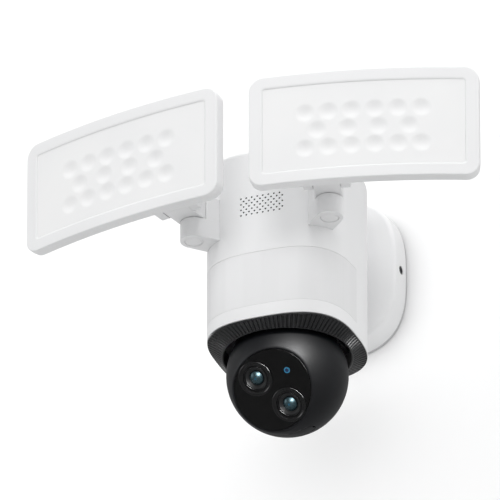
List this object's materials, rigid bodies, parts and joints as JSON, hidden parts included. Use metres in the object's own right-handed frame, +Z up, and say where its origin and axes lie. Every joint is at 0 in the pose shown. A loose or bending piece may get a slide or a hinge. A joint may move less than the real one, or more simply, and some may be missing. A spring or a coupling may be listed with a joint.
{
  "type": "floodlight security camera",
  "caption": "Wall-mounted floodlight camera: upright rounded body on a round base, curved swivelling lamp panels on arms and a black pan and tilt camera ball below.",
  "frame": {"origin": "centre of the wall face of the mounting bracket, which lies in the wall plane", "axes": "+Y into the wall (the wall plane is y = 0), +Z up, +X to the right of someone looking at the front"},
  "size_m": [0.3204, 0.1835, 0.2093],
  "materials": {
    "white_plastic": "smooth satin white ABS",
    "sensor_window": "milky HDPE, satin",
    "frosted_diffuser": "frosted polycarbonate",
    "black_plastic": "fine matte black",
    "gloss_black": "polished black",
    "lens_glass": "coated lens glass",
    "status_blue": "lit blue light guide",
    "zinc_steel": "zinc plated",
    "dark_screw": "black oxide",
    "grey_rubber": "soft matte",
    "circuit_board": "green solder mask",
    "aluminium": "die cast",
    "gear_nylon": "natural nylon"
  },
  "bodies": {
    "housing": {"mounting_bracket": "zinc_steel", "base_gasket": "grey_rubber", "base_cover": "white_plastic", "lock_screw_left": "dark_screw", "lock_screw_right": "dark_screw", "neck_lock_ring": "aluminium", "cable_grommet": "grey_rubber", "terminal_block": "gear_nylon", "rear_cover": "white_plastic", "body_housing": "white_plastic", "pir_window": "sensor_window", "pir_board": "circuit_board", "pir_sensor_left": "aluminium", "pir_sensor_front": "aluminium", "pir_sensor_right": "aluminium", "speaker": "black_plastic", "inner_chassis": "gear_nylon", "main_board": "circuit_board", "power_board": "circuit_board", "power_module": "black_plastic", "ribbed_ring": "black_plastic", "bearing_plate": "gear_nylon", "pan_motor": "aluminium", "left_arm": "white_plastic", "right_arm": "white_plastic"},
    "pan_pinion": {"pan_pinion": "gear_nylon"},
    "pan_yoke": {"pan_yoke": "aluminium", "pan_gear": "gear_nylon", "tilt_axle": "zinc_steel", "tilt_motor": "aluminium"},
    "tilt_pinion": {"tilt_pinion": "gear_nylon"},
    "camera_head": {"head_shell": "black_plastic", "face_plate": "gloss_black", "wide_lens_ring": "black_plastic", "wide_lens_barrel": "black_plastic", "wide_lens_glass": "lens_glass", "tele_lens_ring": "black_plastic", "tele_lens_barrel": "black_plastic", "tele_lens_glass": "lens_glass", "status_light": "status_blue", "sensor_board": "circuit_board", "tilt_gear": "gear_nylon"},
    "service_flap": {"service_flap": "black_plastic"},
    "sync_button": {"sync_button": "grey_rubber"},
    "left_swivel": {"left_knuckle": "white_plastic", "left_swivel_screw": "white_plastic"},
    "left_lamp": {"left_clevis": "white_plastic", "left_tilt_pin": "zinc_steel", "left_lamp_housing": "white_plastic", "left_lamp_bezel": "white_plastic", "left_lamp_window": "frosted_diffuser", "left_led_board": "circuit_board"},
    "right_swivel": {"right_knuckle": "white_plastic", "right_swivel_screw": "white_plastic"},
    "right_lamp": {"right_clevis": "white_plastic", "right_tilt_pin": "zinc_steel", "right_lamp_housing": "white_plastic", "right_lamp_bezel": "white_plastic", "right_lamp_window": "frosted_diffuser", "right_led_board": "circuit_board"}
  },
  "joints": [
    {"name": "camera_pan", "type": "hinge", "parent": "housing", "child": "pan_yoke", "pos_m": [0, -0.0787, -0.06], "axis": [0, 0, 1], "range_deg": [-167, 183]},
    {"name": "pan_pinion_spin", "type": "hinge", "parent": "housing", "child": "pan_pinion", "pos_m": [0, -0.0467, -0.053], "axis": [0, 0, 1], "range_deg": [-560, 560]},
    {"name": "camera_tilt", "type": "hinge", "parent": "pan_yoke", "child": "camera_head", "pos_m": [0, -0.0787, -0.1047], "axis": [0.9903, -0.1392, 0], "range_deg": [-30, 34]},
    {"name": "tilt_pinion_spin", "type": "hinge", "parent": "pan_yoke", "child": "tilt_pinion", "pos_m": [0.00278, -0.05889, -0.1047], "axis": [0.9903, -0.1392, 0], "range_deg": [-110, 110]},
    {"name": "service_flap_hinge", "type": "hinge", "parent": "camera_head", "child": "service_flap", "pos_m": [-0.01349, -0.06692, -0.14125], "axis": [0.1344, 0.9565, 0.2588], "range_deg": [0, 75]},
    {"name": "sync_button_press", "type": "slide", "parent": "camera_head", "child": "sync_button", "axis": [-0.036, -0.2563, 0.9659], "range_m": [0, 0.0008], "stiffness_N_per_m": 400},
    {"name": "left_lamp_swivel", "type": "hinge", "parent": "housing", "child": "left_swivel", "pos_m": [-0.048, -0.128, -0.005], "axis": [0, 0, 1], "range_deg": [-60, 8]},
    {"name": "left_lamp_tilt", "type": "hinge", "parent": "left_swivel", "child": "left_lamp", "pos_m": [-0.0528, -0.14741, 0.003], "axis": [0.9707, -0.2402, 0], "range_deg": [-30, 60]},
    {"name": "right_lamp_swivel", "type": "hinge", "parent": "housing", "child": "right_swivel", "pos_m": [0.048, -0.128, -0.005], "axis": [0, 0, 1], "range_deg": [-8, 60]},
    {"name": "right_lamp_tilt", "type": "hinge", "parent": "right_swivel", "child": "right_lamp", "pos_m": [0.0528, -0.14741, 0.003], "axis": [0.9707, 0.2402, 0], "range_deg": [-30, 60]}
  ],
  "couplings": [
    {"joint": "pan_pinion_spin", "follows": "camera_pan", "ratio": -3},
    {"joint": "tilt_pinion_spin", "follows": "camera_tilt", "ratio": -3}
  ]
}
